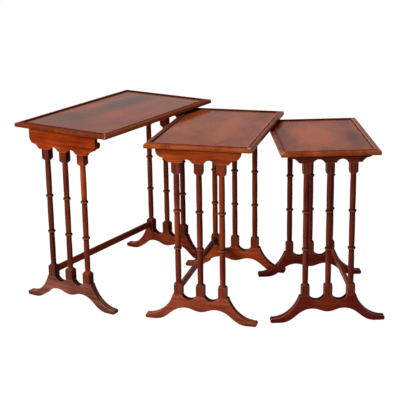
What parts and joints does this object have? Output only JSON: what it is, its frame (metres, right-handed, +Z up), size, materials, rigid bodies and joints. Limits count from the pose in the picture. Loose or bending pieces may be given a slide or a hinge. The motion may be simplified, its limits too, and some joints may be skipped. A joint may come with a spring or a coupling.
{
  "type": "nest of tables",
  "caption": "Nest of occasional tables in polished mahogany: rimmed oblong tops on end frames of slim turned legs with splayed feet, each table sliding under the next larger one.",
  "frame": {"origin": "on the floor, at the middle of the fanned-out nest's outline in plan", "axes": "+Z up; +X along the large table's length, away from the end that faces the viewer; the large table's open side faces -Y, the way the smaller tables come out"},
  "size_m": [0.7866, 1.1502, 0.613],
  "materials": {
    "figured_panel": "french-polished figured mahogany veneer",
    "crossbanded_rim": "polished crossbanded mahogany",
    "core_board": "plain mahogany, oiled",
    "mahogany_frame": "polished red-brown mahogany",
    "steel_screw": "plain slotted steel"
  },
  "bodies": {
    "large": {"large_apron_far": "mahogany_frame", "large_apron_near": "mahogany_frame", "large_apron_screws": "steel_screw", "large_foot_far": "mahogany_frame", "large_foot_near": "mahogany_frame", "large_leg_far_back": "mahogany_frame", "large_leg_far_front": "mahogany_frame", "large_leg_far_mid": "mahogany_frame", "large_leg_near_back": "mahogany_frame", "large_leg_near_front": "mahogany_frame", "large_leg_near_mid": "mahogany_frame", "large_rim_back": "crossbanded_rim", "large_rim_far": "crossbanded_rim", "large_rim_front": "crossbanded_rim", "large_rim_near": "crossbanded_rim", "large_runner_far": "mahogany_frame", "large_runner_near": "mahogany_frame", "large_stretcher": "mahogany_frame", "large_top_board": "core_board", "large_top_panel": "figured_panel"},
    "medium": {"medium_apron_far": "mahogany_frame", "medium_apron_near": "mahogany_frame", "medium_apron_screws": "steel_screw", "medium_foot_far": "mahogany_frame", "medium_foot_near": "mahogany_frame", "medium_leg_far_back": "mahogany_frame", "medium_leg_far_front": "mahogany_frame", "medium_leg_far_mid": "mahogany_frame", "medium_leg_near_back": "mahogany_frame", "medium_leg_near_front": "mahogany_frame", "medium_leg_near_mid": "mahogany_frame", "medium_rim_back": "crossbanded_rim", "medium_rim_far": "crossbanded_rim", "medium_rim_front": "crossbanded_rim", "medium_rim_near": "crossbanded_rim", "medium_stretcher": "mahogany_frame", "medium_top_board": "core_board", "medium_top_panel": "figured_panel"},
    "small": {"small_apron_far": "mahogany_frame", "small_apron_near": "mahogany_frame", "small_apron_screws": "steel_screw", "small_foot_far": "mahogany_frame", "small_foot_near": "mahogany_frame", "small_leg_far_back": "mahogany_frame", "small_leg_far_front": "mahogany_frame", "small_leg_far_mid": "mahogany_frame", "small_leg_near_back": "mahogany_frame", "small_leg_near_front": "mahogany_frame", "small_leg_near_mid": "mahogany_frame", "small_rim_back": "crossbanded_rim", "small_rim_far": "crossbanded_rim", "small_rim_front": "crossbanded_rim", "small_rim_near": "crossbanded_rim", "small_stretcher": "mahogany_frame", "small_top_board": "core_board", "small_top_panel": "figured_panel"}
  },
  "joints": [
    {"name": "medium_swing", "type": "hinge", "parent": "large", "child": "medium", "pos_m": [1.08653, 0.29494, 0], "axis": [0, 0, 1], "range_deg": [-18, 8]},
    {"name": "small_swing", "type": "hinge", "parent": "medium", "child": "small", "pos_m": [0.98685, 0.30692, 0], "axis": [0, 0, 1], "range_deg": [-17.2, 8]}
  ]
}
